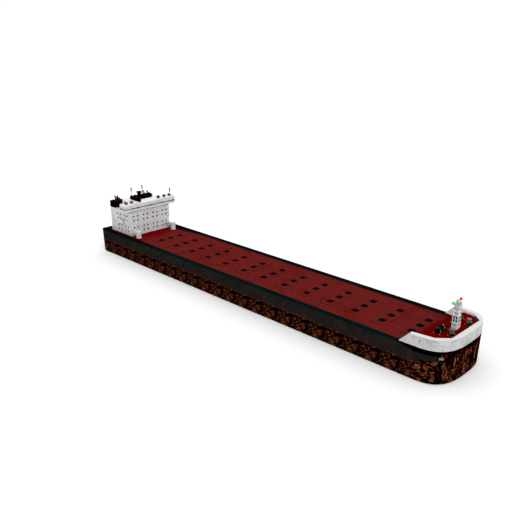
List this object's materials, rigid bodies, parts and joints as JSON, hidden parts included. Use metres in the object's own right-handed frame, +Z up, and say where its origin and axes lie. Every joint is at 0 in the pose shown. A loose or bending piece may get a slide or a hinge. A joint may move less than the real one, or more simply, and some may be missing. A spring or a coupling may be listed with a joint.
{
  "type": "bulk carrier, 1:10 scale model",
  "caption": "Scale model of a long flat-decked bulk carrier with hinged hatch covers over open holds, an accommodation block aft, raised bow, rudder and propeller.",
  "frame": {"origin": "on the floor at the keel, below the middle of the length on the centreline", "axes": "+X to the bow, +Y to port, +Z up"},
  "size_m": [29.23, 4.66, 5.118],
  "materials": {
    "hull_paint": "weathered matt topside paint over cracked brown antifouling",
    "deck_red": "matt red deck paint",
    "white_paint": "mottled off-white paint",
    "funnel_black": "sooty brown-black paint",
    "window_glass": "dark blue tinted glass",
    "bronze": "cast bronze",
    "rust_brown": "rusty antifouling",
    "machine_black": "dark machinery paint",
    "drum_grey": "bare grey steel"
  },
  "bodies": {
    "ship": {"hull_stern": "hull_paint", "hull_block_aft": "hull_paint", "hull_block_middle": "hull_paint", "hull_block_fore": "hull_paint", "hull_bow": "hull_paint", "bulwark": "white_paint", "lower_house": "white_paint", "upper_house": "white_paint", "bridge_deck": "white_paint", "wheelhouse": "white_paint", "bridge_windows": "window_glass", "bridge_roof": "white_paint", "funnel": "funnel_black", "roof_uptakes": "funnel_black", "vent_post_starboard": "white_paint", "vent_post_port": "white_paint", "lifeboat_starboard": "white_paint", "lifeboat_port": "white_paint", "foremast": "white_paint", "windlass_starboard": "machine_black", "capstan_base_starboard": "machine_black", "anchor_starboard": "drum_grey", "windlass_port": "machine_black", "capstan_base_port": "machine_black", "anchor_port": "drum_grey"},
    "cover_01": {"hatch_cover_01": "deck_red"},
    "cover_02": {"hatch_cover_02": "deck_red"},
    "cover_03": {"hatch_cover_03": "deck_red"},
    "cover_04": {"hatch_cover_04": "deck_red"},
    "cover_05": {"hatch_cover_05": "deck_red"},
    "cover_06": {"hatch_cover_06": "deck_red"},
    "cover_07": {"hatch_cover_07": "deck_red"},
    "cover_08": {"hatch_cover_08": "deck_red"},
    "cover_09": {"hatch_cover_09": "deck_red"},
    "cover_10": {"hatch_cover_10": "deck_red"},
    "cover_11": {"hatch_cover_11": "deck_red"},
    "cover_12": {"hatch_cover_12": "deck_red"},
    "cover_13": {"hatch_cover_13": "deck_red"},
    "rudder": {"rudder": "rust_brown"},
    "propeller": {"propeller": "bronze"},
    "radar": {"radar_scanner": "funnel_black"},
    "windlass_drum_starboard": {"windlass_drum_starboard": "machine_black"},
    "capstan_starboard": {"capstan_starboard": "drum_grey"},
    "windlass_drum_port": {"windlass_drum_port": "machine_black"},
    "capstan_port": {"capstan_port": "drum_grey"}
  },
  "joints": [
    {"name": "cover_01_hinge", "type": "hinge", "parent": "ship", "child": "cover_01", "pos_m": [-9.405, 0, 1.722], "axis": [0, -1, 0], "range_deg": [0, 80]},
    {"name": "cover_02_hinge", "type": "hinge", "parent": "ship", "child": "cover_02", "pos_m": [-7.665, 0, 1.722], "axis": [0, -1, 0], "range_deg": [0, 80]},
    {"name": "cover_03_hinge", "type": "hinge", "parent": "ship", "child": "cover_03", "pos_m": [-5.925, 0, 1.722], "axis": [0, -1, 0], "range_deg": [0, 80]},
    {"name": "cover_04_hinge", "type": "hinge", "parent": "ship", "child": "cover_04", "pos_m": [-4.185, 0, 1.722], "axis": [0, -1, 0], "range_deg": [0, 80]},
    {"name": "cover_05_hinge", "type": "hinge", "parent": "ship", "child": "cover_05", "pos_m": [-2.445, 0, 1.722], "axis": [0, -1, 0], "range_deg": [0, 80]},
    {"name": "cover_06_hinge", "type": "hinge", "parent": "ship", "child": "cover_06", "pos_m": [-0.705, 0, 1.722], "axis": [0, -1, 0], "range_deg": [0, 80]},
    {"name": "cover_07_hinge", "type": "hinge", "parent": "ship", "child": "cover_07", "pos_m": [1.035, 0, 1.722], "axis": [0, -1, 0], "range_deg": [0, 80]},
    {"name": "cover_08_hinge", "type": "hinge", "parent": "ship", "child": "cover_08", "pos_m": [2.775, 0, 1.722], "axis": [0, -1, 0], "range_deg": [0, 80]},
    {"name": "cover_09_hinge", "type": "hinge", "parent": "ship", "child": "cover_09", "pos_m": [4.515, 0, 1.722], "axis": [0, -1, 0], "range_deg": [0, 80]},
    {"name": "cover_10_hinge", "type": "hinge", "parent": "ship", "child": "cover_10", "pos_m": [6.255, 0, 1.722], "axis": [0, -1, 0], "range_deg": [0, 80]},
    {"name": "cover_11_hinge", "type": "hinge", "parent": "ship", "child": "cover_11", "pos_m": [7.995, 0, 1.722], "axis": [0, -1, 0], "range_deg": [0, 80]},
    {"name": "cover_12_hinge", "type": "hinge", "parent": "ship", "child": "cover_12", "pos_m": [9.735, 0, 1.722], "axis": [0, -1, 0], "range_deg": [0, 80]},
    {"name": "cover_13_hinge", "type": "hinge", "parent": "ship", "child": "cover_13", "pos_m": [11.475, 0, 1.722], "axis": [0, -1, 0], "range_deg": [0, 80]},
    {"name": "rudder_turn", "type": "hinge", "parent": "ship", "child": "rudder", "pos_m": [-14.14, 0, 1], "axis": [0, 0, 1], "range_deg": [-35, 35]},
    {"name": "propeller_spin", "type": "hinge", "parent": "ship", "child": "propeller", "pos_m": [-13.72, 0, 0.5], "axis": [1, 0, 0], "continuous": true},
    {"name": "radar_spin", "type": "hinge", "parent": "ship", "child": "radar", "pos_m": [-12.42, 0.113, 4.695], "axis": [0, 0, 1], "continuous": true},
    {"name": "windlass_starboard_spin", "type": "hinge", "parent": "ship", "child": "windlass_drum_starboard", "pos_m": [13.389, -0.705, 2.4253], "axis": [0, 1, 0], "continuous": true},
    {"name": "capstan_starboard_spin", "type": "hinge", "parent": "ship", "child": "capstan_starboard", "pos_m": [13.99, -0.85, 2.4503], "axis": [0, 0, 1], "continuous": true},
    {"name": "windlass_port_spin", "type": "hinge", "parent": "ship", "child": "windlass_drum_port", "pos_m": [13.389, 0.705, 2.4253], "axis": [0, 1, 0], "continuous": true},
    {"name": "capstan_port_spin", "type": "hinge", "parent": "ship", "child": "capstan_port", "pos_m": [13.99, 0.85, 2.4503], "axis": [0, 0, 1], "continuous": true}
  ]
}
